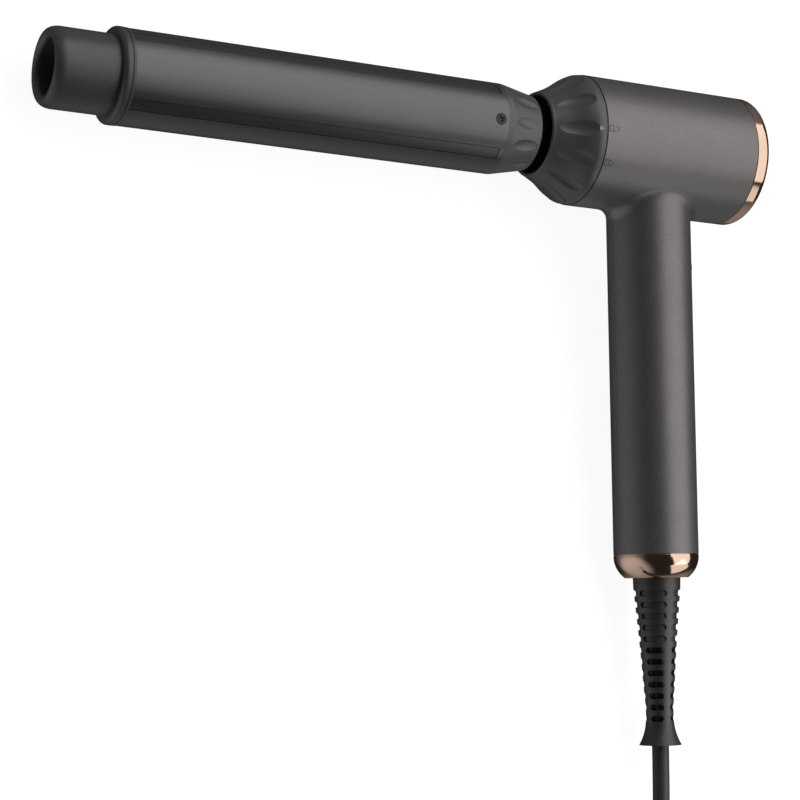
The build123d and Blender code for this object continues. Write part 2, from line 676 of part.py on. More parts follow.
# ---------------------------------------------------------------- cord boot
slot_first = 190.5
slot_pitch = 4.81
slot_rows = 12
blind_rows = 5
slot_height = 2.5
boot_profile = [(188.2, 10.0), (202.0, 8.75), (217.0, 7.5), (231.0, 6.5), (243.5, 5.9), (250.0, 7.0),
                (boot_end, 9.0)]
bell_start = 244.5
with BuildPart() as cord_boot:
    with BuildSketch(GRIP) as boot_outline:
        with BuildLine():
            Line((cap_end - 1.9, 6.55), (cap_end - 1.9, boot_r))
            Line((cap_end - 1.9, boot_r), boot_profile[0])
            Spline(*boot_profile, tangents=[(1, -0.09), (1, 0.6)])
            Line((boot_end, 9.0), (boot_end, 7.6))
            Spline((boot_end, 7.6), (249.5, 5.0), (bell_start, cord_r + 0.35), tangents=[(-1, -0.7), (-1, 0)])
            Polyline((bell_start, cord_r + 0.35), (cap_end + 4.1, cord_r + 0.35), (cap_end + 4.1, 6.55),
                     (cap_end - 1.9, 6.55))
        make_face()
    revolve(boot_outline.sketch, axis=grip_axis)
    for row in range(slot_rows):
        station = slot_first + slot_pitch * row
        surface_r = 10.0 - 0.0855 * (station - 188.2)
        width = 1.19 * surface_r if row < blind_rows else 1.04 * surface_r
        floor_r = surface_r - 0.85 if row < blind_rows else cord_r
        with BuildPart(mode=Mode.PRIVATE) as pockets:
            for side in (45, 135):
                with BuildSketch(about_grip(side)) as pocket:
                    with Locations((station, 0)):
                        SlotOverall(width, slot_height, rotation=90)
                extrude(pocket.sketch, amount=14, both=True)
            turn_on_grip([(station - 4, 0), (station - 4, floor_r), (station + 4, floor_r), (station + 4, 0)],
                         mode=Mode.SUBTRACT)
        add(pockets.part, mode=Mode.SUBTRACT)
cord_boot.part.label = "cord_boot"

with BuildPart() as boot_cord:
    turn_on_grip([(cap_end + 4.1, 0), (cap_end + 4.1, cord_r), (bell_start + 0.5, cord_r),
                  (bell_start + 0.5, 0)])
boot_cord.part.label = "boot_cord"

# ---------------------------------------------------------------- laid on its left side
def lying_pose():
    """Location that lays the design frame on z = 0: tip ring, body rim and cap rim touch it."""
    touching = [(Vector(ring_x + 1.8, 0, 0), Vector(1, 0, 0), ring_r),
                (Vector(head_front, 0, 0), Vector(1, 0, 0), head_r),
                (grip_dir * (grip_end + 1.4), grip_dir, grip_r)]
    up = Vector(0, 0, 1)
    for _ in range(12):
        drop = [r * sqrt(1 - up.dot(axis) ** 2) / up.Z for _c, axis, r in touching]
        (tip, _, _), (rim, _, _), (foot, _, _) = touching
        slope_x = (drop[0] - drop[1]) / (tip.X - rim.X)
        level = slope_x * rim.X - drop[1]
        slope_y = (level + drop[2] - slope_x * foot.X) / foot.Y
        up = Vector(slope_x, slope_y, 1).normalized()
    floor_point = Vector(0, 0, level)
    return Plane(origin=floor_point, x_dir=Vector(1, 0, 0) - up * up.X, z_dir=up).location.inverse()


device = [cool_tip, tip_screw, tip_ring, barrel_tube, *barrel_strips, barrel_collar, barrel_screws,
          barrel_spigot, plug_block, plug_pins, heater_core, heater_plates, heater_film, thermistor,
          barrel_leads, lock_ring, socket, contact_sleeves, right_housing, left_housing, housing_screws,
          rear_ring, rear_cover, control_panel, power_button, minus_button, plus_button,
          indicator_lenses, control_board, board_parts, socket_leads, mains_leads, end_cap, brush_plate,
          brushes, slip_rings, swivel_hub, cord_boot, boot_cord]
pose = lying_pose()
boxes = [(pose * piece.part).bounding_box() for piece in device]
centre_x = (min(b.min.X for b in boxes) + max(b.max.X for b in boxes)) / 2
centre_y = (min(b.min.Y for b in boxes) + max(b.max.Y for b in boxes)) / 2
rest = Pos(-centre_x, -centre_y, 0) * pose

# ---------------------------------------------------------------- mains cord, on the same surface
leave = (rest * Pos(grip_dir * (bell_start + 0.5))).position
straight = (rest * Pos(grip_dir * 281.0)).position
coil_x, coil_y = 79.0, -222.0
coil_r_outer, coil_r_inner = 50.6, 35.8      # centrelines of the outer and the inner of three columns
coil_low, coil_high = 14.7, 22.0             # two layers of turns, and a third on the outer column
cord_points = [(leave.X, leave.Y, leave.Z), (straight.X, straight.Y, straight.Z),
               (129.3, -190.0, 6.8), (129.6, -212.0, 3.8)]
tail_points = [(79.0, -272.6, 18.3), (59.0, -272.7, 17.4), (38.5, -273.9, 11.2), (18.0, -275.2, 5.6),
               (-4.0, -275.6, 6.9), (-22.0, -275.6, 6.9)]


def bend_radii(points):
    """Radius of each corner's arc: 0.45 of its shorter run over the tangent of half its turn."""
    corners = [Vector(*p) for p in points]
    radii = []
    for before, here, after in zip(corners, corners[1:], corners[2:]):
        turn_angle = radians((here - before).get_angle(after - here))
        shorter = min((here - before).length, (after - here).length)
        radii.append(0.45 * shorter / tan(turn_angle / 2))
    return radii


def cord_run(points, label):
    """Cord along straight runs joined by tangent arcs; prints its bends and its volume check."""
    radii = bend_radii(points)
    with BuildPart() as run:
        with BuildLine(mode=Mode.PRIVATE) as route:
            FilletPolyline(*points, radius=radii)
        path = route.wires()[0]
        with BuildSketch(Plane(origin=path @ 0, z_dir=path % 0)) as section:
            Circle(cord_r)
        sweep(section.sketch, path=path)
    run.part.label = label
    ideal = pi * cord_r ** 2 * path.length
    print(label, "length", round(path.length, 1), "radii", [round(r) for r in radii],
          "volume / ideal", round(run.part.volume / ideal, 4))
    return run


mains_cord = cord_run(cord_points, "mains_cord")
cord_tail = cord_run(tail_points, "cord_tail")

coil_section = [(coil_r_inner - cord_r, 0), (coil_r_outer + cord_r, 0), (coil_r_outer + cord_r, coil_high),
                (coil_r_outer - cord_r, coil_high), (coil_r_outer - cord_r, coil_low),
                (coil_r_inner - cord_r, coil_low)]
with BuildPart() as cord_coil:
    with BuildSketch(Plane.XZ.offset(-coil_y)) as bundle:
        with BuildLine():
            Polyline(*[(coil_x + r, z) for r, z in coil_section], close=True)
        make_face()
        outer_corners = [v for v in bundle.vertices() if abs(v.X - coil_x - coil_section[3][0]) > 0.1
                         or v.Z > coil_low + 0.1]
        fillet(outer_corners, radius=3.2)
    revolve(bundle.sketch, axis=Axis((coil_x, coil_y, 0), (0, 0, 1)))
cord_coil.part.label = "cord_coil"

tie_thickness = 0.8
with BuildPart() as cord_tie:
    with BuildSketch(Plane.XZ.offset(-coil_y)) as tie_section:
        with BuildLine():
            Polyline(*[(coil_x - r, z + tie_thickness) for r, z in coil_section if (r, z) != coil_section[4]],
                     close=True)
        make_face()
        fillet(tie_section.vertices(), radius=2.6)
        offset(amount=tie_thickness, kind=Kind.ARC)
        with BuildLine():
            Polyline(*[(coil_x - r, z + tie_thickness) for r, z in coil_section if (r, z) != coil_section[4]],
                     close=True)
        make_face(mode=Mode.SUBTRACT)
    extrude(tie_section.sketch, amount=5, both=True)
cord_tie.part.label = "cord_tie"

plug_entry = tail_points[-1]
plug_height = 13.8
plug_face = plug_entry[0] - 56.0
prong_r, prong_length, prong_half = 2.0, 19.0, 9.3
prong_root_r, prong_root = 1.5, 8.0          # the part of each prong that the plug is moulded on
with BuildPart() as plug_body:
    relief = [(0, 0), (0, cord_r), (3, cord_r + 0.4), (20, 5.6), (24, 6.2), (24, 0)]
    turn([(plug_entry[0] - s, r) for s, r in relief], Plane(origin=(0, plug_entry[1], plug_entry[2])),
         Axis((0, plug_entry[1], plug_entry[2]), (1, 0, 0)))
    with BuildSketch(Plane.XY.offset(plug_entry[2] - plug_height / 2)) as plug_outline:
        with BuildLine():
            Polyline((plug_entry[0] - 22, plug_entry[1] - 6.4), (plug_entry[0] - 36, plug_entry[1] - 17.2),
                     (plug_face, plug_entry[1] - 17.2), (plug_face, plug_entry[1] + 17.2),
                     (plug_entry[0] - 36, plug_entry[1] + 17.2), (plug_entry[0] - 22, plug_entry[1] + 6.4),
                     close=True)
        make_face()
        fillet(plug_outline.vertices(), 3)
    extrude(plug_outline.sketch, amount=plug_height)
    fillet(plug_body.edges().filter_by(Plane.XY).group_by(Axis.Z)[-1], 2.5)
    fillet(plug_body.edges().filter_by(Plane.XY).group_by(Axis.Z)[0], 2.5)
    for side in (-1, 1):
        with BuildSketch(Plane.YZ.offset(plug_face)) as prong_hole:
            with Locations((plug_entry[1] + prong_half * side, plug_entry[2])):
                Circle(prong_root_r)
        extrude(prong_hole.sketch, amount=prong_root, mode=Mode.SUBTRACT)
plug_body.part.label = "plug_body"

with BuildPart() as plug_prongs:
    for side in (-1, 1):
        with BuildSketch(Plane.YZ.offset(plug_face)) as prong_section:
            with Locations((plug_entry[1] + prong_half * side, plug_entry[2])):
                Circle(prong_r)
        extrude(prong_section.sketch, amount=-prong_length)
        with BuildSketch(Plane.YZ.offset(plug_face)) as root_section:
            with Locations((plug_entry[1] + prong_half * side, plug_entry[2])):
                Circle(prong_root_r)
        extrude(root_section.sketch, amount=prong_root)
    chamfer(plug_prongs.faces().sort_by(Axis.X)[:2].edges(), 0.7)
plug_prongs.part.label = "plug_prongs"

cord_pieces = [mains_cord, cord_tail, cord_coil, cord_tie, plug_body, plug_prongs]

os.makedirs("parts", exist_ok=True)
for piece in device:
    piece.part.move(rest)
for piece in device + cord_pieces:
    export_step(piece.part, f"parts/{piece.part.label}.step")
print("floor", round(min(b.min.Z for b in boxes), 3))
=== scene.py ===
import json
from math import cos, exp, pi, radians, sin, tan

import bpy
from mathutils import Matrix, Vector


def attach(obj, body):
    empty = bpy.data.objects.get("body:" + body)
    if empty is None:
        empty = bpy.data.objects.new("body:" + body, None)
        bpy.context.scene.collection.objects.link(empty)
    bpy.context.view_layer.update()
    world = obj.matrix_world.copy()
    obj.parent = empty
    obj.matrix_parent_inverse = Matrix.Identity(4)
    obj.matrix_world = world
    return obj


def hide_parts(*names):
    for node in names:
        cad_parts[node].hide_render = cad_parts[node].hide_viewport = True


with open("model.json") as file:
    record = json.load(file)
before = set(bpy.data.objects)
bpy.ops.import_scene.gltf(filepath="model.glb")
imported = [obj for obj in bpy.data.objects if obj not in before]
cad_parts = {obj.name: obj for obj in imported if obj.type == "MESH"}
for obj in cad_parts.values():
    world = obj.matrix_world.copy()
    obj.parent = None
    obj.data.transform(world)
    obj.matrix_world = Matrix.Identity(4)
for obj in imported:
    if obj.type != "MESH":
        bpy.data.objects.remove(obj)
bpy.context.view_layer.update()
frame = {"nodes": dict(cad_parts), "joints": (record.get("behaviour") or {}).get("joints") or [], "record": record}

# ---------------------------------------------------------------- the part's own axes, from its joints
joints = {j["name"]: j for j in frame["joints"]}
REAR = -Vector(joints["barrel_release"]["axis"])       # along the barrel axis, away from the tip
DOWN_GRIP = Vector(joints["cord_swivel_turn"]["axis"])
TOP = (REAR * DOWN_GRIP.dot(REAR) - DOWN_GRIP).normalized()
SIDE = REAR.cross(TOP)                                 # out of the right-hand side
LOCK_PIVOT_X = -0.045                                  # where the lock ring's pivot lies on the barrel axis
ORIGIN = Vector(joints["lock_ring_turn"]["pos_m"]) - REAR * LOCK_PIVOT_X
MM = 0.001


def way(x, y, z):
    """A direction given along the barrel, up from the grip and out of the right side."""
    return (REAR * x + TOP * y + SIDE * z).normalized()


def place(x, y, z):
    """A point in millimetres along the same three axes, in the row frame."""
    return ORIGIN + (REAR * x + TOP * y + SIDE * z) * MM


def round_barrel(x, radius, angle):
    """A point by its station on the barrel axis, its radius and its angle from right towards the top."""
    a = radians(angle)
    return place(x, radius * sin(a), radius * cos(a))


# ---------------------------------------------------------------- camera
EYE = place(-565.8, -215.3, 869.9)
LOOK = way(0.4567520, 0.1002897, -0.8839229)
IMAGE_UP = way(-0.0709219, 0.9945674, 0.0761958)
IMAGE_RIGHT = LOOK.cross(IMAGE_UP).normalized()
camera = bpy.data.objects.new("camera", bpy.data.cameras.new("camera"))
bpy.context.scene.collection.objects.link(camera)
camera.data.lens, camera.data.sensor_width = 109.36, 36.0
camera.data.clip_start, camera.data.clip_end = 0.05, 20.0
camera.matrix_world = Matrix((IMAGE_RIGHT, IMAGE_UP, -LOOK)).transposed().to_4x4()
camera.matrix_world.translation = EYE
bpy.context.scene.camera = camera
AIM = place(-60, -60, 0)                               # what the lights point at


# ---------------------------------------------------------------- material building
class Shader:
    """A Principled material and short ways to add nodes to it."""

    def __init__(self, name, base, metallic, roughness, **sockets):
        self.material = bpy.data.materials.new(name)
        self.material.use_nodes = True
        self.tree = self.material.node_tree
        self.bsdf = self.tree.nodes["Principled BSDF"]
        self.base, self.roughness = base, roughness
        self.bsdf.inputs["Base Color"].default_value = (*base, 1)
        self.bsdf.inputs["Metallic"].default_value = metallic
        self.bsdf.inputs["Roughness"].default_value = roughness
        for key, value in sockets.items():
            self.bsdf.inputs[key.replace("_", " ")].default_value = value
        self.where = self.add("ShaderNodeTexCoord").outputs["Object"]

    def add(self, kind, inputs=None, **settings):
        node = self.tree.nodes.new(kind)
        for key, value in settings.items():
            setattr(node, key, value)
        for key, value in (inputs or {}).items():
            self.feed(value, node.inputs[key])
        return node

    def feed(self, value, socket):
        if isinstance(value, bpy.types.NodeSocket):
            self.tree.links.new(value, socket)
        else:
            socket.default_value = value

    def stretched(self, along, amount):
        """Coordinates squeezed along a direction, so that a texture's grain runs that way."""
        dot = self.add("ShaderNodeVectorMath", {0: self.where, 1: along}, operation="DOT_PRODUCT")
        pulled = self.add("ShaderNodeVectorMath", {0: along, "Scale": dot.outputs["Value"]},
                          operation="SCALE")
        shorter = self.add("ShaderNodeVectorMath", {0: pulled.outputs["Vector"], "Scale": amount - 1},
                           operation="SCALE")
        moved = self.add("ShaderNodeVectorMath", {0: self.where, 1: shorter.outputs["Vector"]})
        return moved.outputs["Vector"]

    def noise(self, scale, detail=3.0, rough=0.55, where=None):
        inputs = {"Vector": where or self.where, "Scale": scale, "Detail": detail, "Roughness": rough}
        return self.add("ShaderNodeTexNoise", inputs).outputs["Fac"]

    def cells(self, scale, where=None):
        """A random number for each small cell, as flakes and grains have."""
        found = self.add("ShaderNodeTexVoronoi", {"Vector": where or self.where, "Scale": scale})
        return self.add("ShaderNodeSeparateColor", {0: found.outputs["Color"]}).outputs[0]

    def ranged(self, value, low, high, from_low=0.3, from_high=0.7):
        return self.add("ShaderNodeMapRange", {0: value, 1: from_low, 2: from_high, 3: low, 4: high}).outputs[0]

    def times(self, a, b):
        return self.add("ShaderNodeMath", {0: a, 1: b}, operation="MULTIPLY").outputs[0]

    def colour(self, share):
        """Base colour times a share that varies over the surface."""
        mix = self.add("ShaderNodeVectorMath", {0: self.base, "Scale": share}, operation="SCALE")
        self.feed(mix.outputs["Vector"], self.bsdf.inputs["Base Color"])

    def gloss(self, share):
        self.feed(self.times(share, self.roughness), self.bsdf.inputs["Roughness"])

    def relief(self, height, depth, soft_edge=0.0, strength=1.0):
        """Bump of that depth in metres, over edges rounded by soft_edge."""
        inputs = {"Height": height, "Distance": depth, "Strength": strength}
        if soft_edge:
            bevel = self.add("ShaderNodeBevel", {"Radius": soft_edge}, samples=4)
            inputs["Normal"] = bevel.outputs["Normal"]
        bump = self.add("ShaderNodeBump", inputs)
        self.feed(bump.outputs["Normal"], self.bsdf.inputs["Normal"])


def metallic_paint(name):
    s = Shader(name, (0.266, 0.253, 0.250), 0.72, 0.42)
    flake = s.ranged(s.cells(2600), 0.92, 1.09, 0.0, 1.0)
    fine = s.ranged(s.cells(4700), 0.95, 1.05, 0.0, 1.0)
    s.colour(s.times(s.times(flake, fine), s.ranged(s.noise(38), 0.97, 1.03)))
    s.gloss(s.ranged(s.noise(55, 4), 0.95, 1.06))
    s.relief(s.cells(3300), 0.000005, 0.00018)
    return s.material


def polished_metal(name, base, roughness, metallic=1.0, handled=0.25, edge=0.00015):
    s = Shader(name, base, metallic, roughness)
    s.colour(s.ranged(s.noise(60, 4), 0.97, 1.02))
    s.gloss(s.ranged(s.noise(140, 6, 0.7), 1 - handled, 1 + 2 * handled))
    s.relief(s.noise(420, 2), 0.000004, edge)
    return s.material


def moulded(name, base, roughness, grain=2600, depth=0.00001, edge=0.0002, **sockets):
    """Plastic or rubber with a fine moulded grain, slightly rubbed here and there."""
    s = Shader(name, base, 0.0, roughness, **sockets)
    s.colour(s.times(s.ranged(s.noise(70, 4), 0.93, 1.08), s.ranged(s.cells(grain), 0.93, 1.07, 0.0, 1.0)))
    rubbed = s.ranged(s.noise(45, 5, 0.6), 0.92, 1.09)
    s.gloss(s.times(rubbed, s.ranged(s.noise(grain / 2, 2), 0.95, 1.05)))
    s.relief(s.noise(grain, 2, 0.6), depth, edge)
    return s.material


def coated_barrel(name, base, roughness, metallic, streak):
    """Baked ceramic coating with a faint lengthwise polish."""
    s = Shader(name, base, metallic, roughness, Coat_Weight=0.15, Coat_Roughness=0.3)
    lengthwise = s.stretched(REAR, 0.06)
    lines = s.noise(900, 3, 0.6, lengthwise)
    specks = s.ranged(s.cells(3200), 0.96, 1.04, 0.0, 1.0)
    s.colour(s.times(s.ranged(lines, 1 - streak, 1 + streak), specks))
    s.gloss(s.times(s.ranged(lines, 0.95, 1.06), s.ranged(s.noise(26, 3), 0.95, 1.06)))
    s.relief(lines, 0.000006, 0.00012)
    return s.material


def woven(name, base, across):
    """Hook-and-loop tape: fine ribs with fuzz."""
    s = Shader(name, base, 0.0, 0.9, Sheen_Weight=0.35, Sheen_Roughness=0.5)
    ribs = s.add("ShaderNodeTexWave", {"Vector": s.where, "Scale": across, "Distortion": 1.2, "Detail": 2.0},
                 wave_type="BANDS", bands_direction="DIAGONAL").outputs["Fac"]
    s.colour(s.times(s.ranged(ribs, 0.7, 1.25, 0.0, 1.0), s.ranged(s.noise(1500, 4, 0.7), 0.7, 1.3)))
    s.relief(s.times(ribs, s.noise(1800, 3)), 0.0002)
    return s.material


looks = {
    "housing_paint": metallic_paint("housing_paint"),
    "rose_gold": polished_metal("rose_gold", (0.88, 0.62, 0.48), 0.10, handled=0.2),
    "ring_plastic": moulded("ring_plastic", (0.122, 0.116, 0.112), 0.38, Specular_IOR_Level=1.0),
    "tip_plastic": moulded("tip_plastic", (0.085, 0.084, 0.084), 0.40, grain=1500, depth=0.00004,
                           Specular_IOR_Level=1.0),
    "barrel_ceramic": coated_barrel("barrel_ceramic", (0.165, 0.167, 0.175), 0.36, 0.90, 0.05),
    "strip_ceramic": coated_barrel("strip_ceramic", (0.130, 0.131, 0.136), 0.36, 0.80, 0.04),
    "black_gloss": moulded("black_gloss", (0.010, 0.010, 0.011), 0.12, grain=3500, depth=0.000002),
    "black_plastic": moulded("black_plastic", (0.016, 0.016, 0.016), 0.42),
    "button_plastic": moulded("button_plastic", (0.024, 0.024, 0.025), 0.34),
    "boot_rubber": moulded("boot_rubber", (0.045, 0.044, 0.043), 0.42, grain=1900, depth=0.00002,
                           Specular_IOR_Level=1.0),
    "cord_sheath": moulded("cord_sheath", (0.07, 0.07, 0.07), 0.45, grain=1200, depth=0.00003),
    "black_steel": polished_metal("black_steel", (0.055, 0.055, 0.058), 0.26),
    "brass": polished_metal("brass", (0.80, 0.56, 0.26), 0.22),
    "core_aluminium": polished_metal("core_aluminium", (0.62, 0.62, 0.63), 0.35),
    "plate_ceramic": moulded("plate_ceramic", (0.75, 0.73, 0.68), 0.5),
    "board_laminate": moulded("board_laminate", (0.03, 0.14, 0.05), 0.4),
    "lens": moulded("lens", (0.55, 0.53, 0.50), 0.25, Transmission_Weight=0.3),
}
tape = woven("tie_tape", (0.014, 0.014, 0.014), 900)
white_mark = moulded("white_mark", (0.66, 0.66, 0.66), 0.5)
faint_mark = polished_metal("faint_mark", (0.115, 0.109, 0.106), 0.42, metallic=0.72)


def paint(obj, material):
    if obj.material_slots:
        for material_slot in obj.material_slots:
            material_slot.material = material
    else:
        obj.data.materials.append(material)


for row in frame["record"]["subparts"]:
    paint(frame["nodes"][row["node"]], looks[row["material_slot"]])


def new_piece(name, verts, faces, material, smooth=True):
    """Mesh object from its points and faces."""
    mesh = bpy.data.meshes.new(name)
    mesh.from_pydata([tuple(v) for v in verts], [], faces)
    mesh.validate()
    for polygon in mesh.polygons:
        polygon.use_smooth = smooth
    obj = bpy.data.objects.new(name, mesh)
    bpy.context.scene.collection.objects.link(obj)
    obj.data.materials.append(material)
    return obj


# ---------------------------------------------------------------- cool tip
TIP_X, TIP_R, BORE_R, BORE_FLOOR = -273.0, 15.95, 11.0, -251.0
TIP_RING_X, TIP_REAR, SPIGOT_R = -247.0, -238.0, 13.9
SCREW_HOLE_R, SCREW_SEAT_R, SCREW_SEAT_X = 1.6, 3.4, -248.0
LIP_R, LIP_LONG, MOUTH_LONG = 13.4, 4.8, 2.4           # the lip's crown, and how far it rounds each way
LIP_STEPS, ROUND_STEPS = 12, 128


def tip_profile():
    """Closed outline of (station, radius): screw seat, bore, rounded lip, outer wall and rear spigot."""
    mouth, outside = [], []
    for i in range(LIP_STEPS + 1):
        a = pi / 2 * i / LIP_STEPS
        mouth.append((TIP_X + MOUTH_LONG * (1 - sin(a)), LIP_R - (LIP_R - BORE_R) * cos(a)))
        outside.append((TIP_X + LIP_LONG * (1 - cos(a)), LIP_R + (TIP_R - LIP_R) * sin(a)))
    return ([(TIP_REAR, SCREW_HOLE_R), (SCREW_SEAT_X, SCREW_HOLE_R), (SCREW_SEAT_X, SCREW_SEAT_R),
             (BORE_FLOOR, SCREW_SEAT_R), (BORE_FLOOR, BORE_R)] + mouth + outside[1:]
            + [(TIP_RING_X, TIP_R), (TIP_RING_X, SPIGOT_R), (TIP_REAR, SPIGOT_R)])


def lathe(name, profile, material):
    """Closed outline turned about the barrel axis."""
    count = len(profile)
    verts = [round_barrel(x, r, 360 * k / ROUND_STEPS) for k in range(ROUND_STEPS) for x, r in profile]
    faces = []
    for k in range(ROUND_STEPS):
        here, there = k * count, (k + 1) % ROUND_STEPS * count
        for i in range(count):
            j = (i + 1) % count
            faces.append((here + i, here + j, there + j, there + i))
    obj = new_piece(name, verts, faces, material)
    obj.data.set_sharp_from_angle(angle=radians(35))
    return obj


tip = lathe("round_tip", tip_profile(), looks["tip_plastic"])
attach(tip, "barrel")
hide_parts("cool_tip")

# ---------------------------------------------------------------- mains cord
CORD_R = 0.00365
exit_point = (0.125918, -0.130882, 0.013606)
leaving = [exit_point, (0.127773, -0.166760, 0.011301), (0.1293, -0.1900, 0.0068),
           (0.1296, -0.2120, 0.0038)]
going_to_plug = [(0.0590, -0.2727, 0.0174), (0.0385, -0.2739, 0.0112), (0.0180, -0.2752, 0.0056),
                 (-0.0040, -0.2756, 0.0069), (-0.0220, -0.2756, 0.0069)]
COIL_CENTRE = Vector((0.0790, -0.2220, 0.0))
OUTER, INNER = 0.0506, 0.0358                          # three columns of turns, 7.4 mm apart
LOW, SECOND, THIRD = 0.00365, 0.0110, 0.01835
STEPS = 16                                             # control points in each turn
TIE_ANGLE, TIE_LIFT, TIE_SPREAD = 180.0, 0.0009, 30.0  # the cord rises a little over the tape
# degrees wound so far, radius, height: in over the first layer, out over the second, on top at the end
WINDING = [(0, OUTER, LOW), (720, INNER, LOW), (810, INNER, SECOND), (1545, OUTER, SECOND),
           (1640, OUTER, THIRD), (1890, OUTER, THIRD)]


def coil_points():
    """Control points of the wound cord, half a step in from each end of the winding."""
    points = []
    wound = 180 / STEPS
    while wound < WINDING[-1][0]:
        for (a0, r0, z0), (a1, r1, z1) in zip(WINDING, WINDING[1:]):
            if a0 <= wound <= a1:
                t = (wound - a0) / (a1 - a0)
                radius = (r0 + (r1 - r0) * t) / cos(pi / STEPS)
                height = z0 + (z1 - z0) * t * t * (3 - 2 * t)
        over_tie = TIE_LIFT * exp(-((wound % 360 - TIE_ANGLE) / TIE_SPREAD) ** 2)
        a = -radians(wound)
        points.append(COIL_CENTRE + Vector((radius * cos(a), radius * sin(a), height + over_tie)))
        wound += 360 / STEPS
    return points


route = [Vector(p) for p in leaving] + coil_points() + [Vector(p) for p in going_to_plug]
line = bpy.data.curves.new("mains_lead", "CURVE")
line.dimensions = "3D"
line.bevel_depth = CORD_R
line.bevel_resolution = 6
line.resolution_u = 10
line.use_fill_caps = True
spline = line.splines.new("NURBS")
spline.points.add(len(route) - 1)
for control, point in zip(spline.points, route):
    control.co = (*point, 1.0)
spline.order_u = 3
spline.use_endpoint_u = True
lead = bpy.data.objects.new("mains_lead", line)
bpy.context.scene.collection.objects.link(lead)
line.materials.append(looks["cord_sheath"])
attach(lead, "body")
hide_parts("mains_cord", "cord_tail", "cord_coil")


# ---------------------------------------------------------------- tape round the coil
TAPE_THICK, TAPE_WIDTH, TAPE_OVERLAP = 0.0008, 0.010, 0.020
TAPE_RISE = 0.004                                      # length over which the second lap climbs on the first
TAPE_CORNER = 0.003
# radius and height round the turns at the tie
BUNDLE = [(0.0358, 0), (0.0506, 0), (0.0543, 0.0120), (0.0543, 0.0217), (0.0470, 0.0217),
          (0.0338, 0.0152), (0.0338, 0.0070)]


def rounded_outline(corners, radius, arc_steps=7):
    """Points and outward normals round a convex outline, corner by corner."""
    found = []
    for i, corner in enumerate(corners):
        here = Vector(corner)
        before = (here - Vector(corners[i - 1])).normalized()
        after = (Vector(corners[(i + 1) % len(corners)]) - here).normalized()
        n0, n1 = Vector((before.y, -before.x)), Vector((after.y, -after.x))
        turn = n0.angle(n1)
        middle = here - before * radius * tan(turn / 2) - n0 * radius
        for step in range(arc_steps):
            normal = n0.lerp(n1, step / (arc_steps - 1)).normalized()
            found.append((middle + normal * radius, normal))
    return found


def tape_round_coil():
    """Strap once round the turns, its end lapped over its start."""
    outline = rounded_outline(BUNDLE, TAPE_CORNER)
    start = 3 * len(outline) // 5                      # on the sloping top
    outline = outline[start:] + outline[:start]
    laps = [(p, n, 0.0) for p, n in outline]
    walked = 0.0
    for i, (p, n) in enumerate(outline):
        if i:
            walked += (p - outline[i - 1][0]).length
        lift = min(walked / TAPE_RISE, 1.0)
        laps.append((p, n, TAPE_THICK * 1.05 * lift))
        if walked > TAPE_OVERLAP:
            break
    section = [(-0.5, 0.2), (-0.46, 0.5), (0.46, 0.5), (0.5, 0.2), (0.5, -0.2), (0.46, -0.5),
               (-0.46, -0.5), (-0.5, -0.2)]
    verts, faces = [], []
    for p, n, lift in laps:
        for side, out in section:
            q = p + n * (TAPE_THICK * (0.5 + out) + lift)
            verts.append(COIL_CENTRE + Vector((-q.x, side * TAPE_WIDTH, q.y + TAPE_THICK)))
    count = len(section)
    for ring in range(len(laps) - 1):
        for k in range(count):
            a, b = ring * count + k, ring * count + (k + 1) % count
            faces.append((a, b, b + count, a + count))
    last = (len(laps) - 1) * count
    faces += [tuple(reversed(range(count))), tuple(range(last, last + count))]
    return new_piece("tie_tape", verts, faces, tape)


tie = tape_round_coil()
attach(tie, "body")
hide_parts("cord_tie")


# ---------------------------------------------------------------- printed marks
PRINT_PROUD, PRINT_SUNK = 0.06, -0.05                  # a print's top and bottom against the surface, mm
RING_R, HEAD_R = 27.5, 27.8


def ribbon(left, right, radius_at, angle):
    """Closed thin slab between two lines of (station, offset round the barrel) points."""
    verts, faces = [], []
    for (x0, v0), (x1, v1) in zip(left, right):
        for lift in (PRINT_PROUD, PRINT_SUNK):
            for x, v in ((x0, v0), (x1, v1)):
                r = radius_at(x) + lift
                verts.append(round_barrel(x, r, angle + v / r * 180 / pi))
    for i in range(len(left) - 1):
        a, b = 4 * i, 4 * i + 4
        faces += [(a, a + 1, b + 1, b), (a + 2, b + 2, b + 3, a + 3), (a, b, b + 2, a + 2),
                  (a + 1, a + 3, b + 3, b + 1)]
    end = 4 * (len(left) - 1)
    faces += [(0, 2, 3, 1), (end, end + 1, end + 3, end + 2)]
    return verts, faces


def printed(name, ribbons, material, body):
    """One piece made of several ribbons."""
    verts, faces = [], []
    for part_verts, part_faces in ribbons:
        faces += [tuple(len(verts) + i for i in face) for face in part_faces]
        verts += part_verts
    obj = new_piece(name, verts, faces, material, smooth=False)
    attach(obj, body)
    return obj


def flare_radius(x):
    """The lock ring's outside near its rear edge."""
    return RING_R - 0.4 * ((-38.3 - x) / 2.3) ** 2


def head_radius(x):
    return HEAD_R


POINTER_X, POINTER_STEP, POINTER_HALF, POINTER_BLUNT = -40.6, 0.32, 1.1, 0.04
pointer_rows = [(POINTER_X + POINTER_STEP * i, POINTER_HALF * (1 - i / 6) + POINTER_BLUNT) for i in range(7)]
triangle = ribbon([(x, -v) for x, v in pointer_rows], [(x, v) for x, v in pointer_rows], flare_radius, 0)
printed("pointer", [triangle], white_mark, "lock_ring")


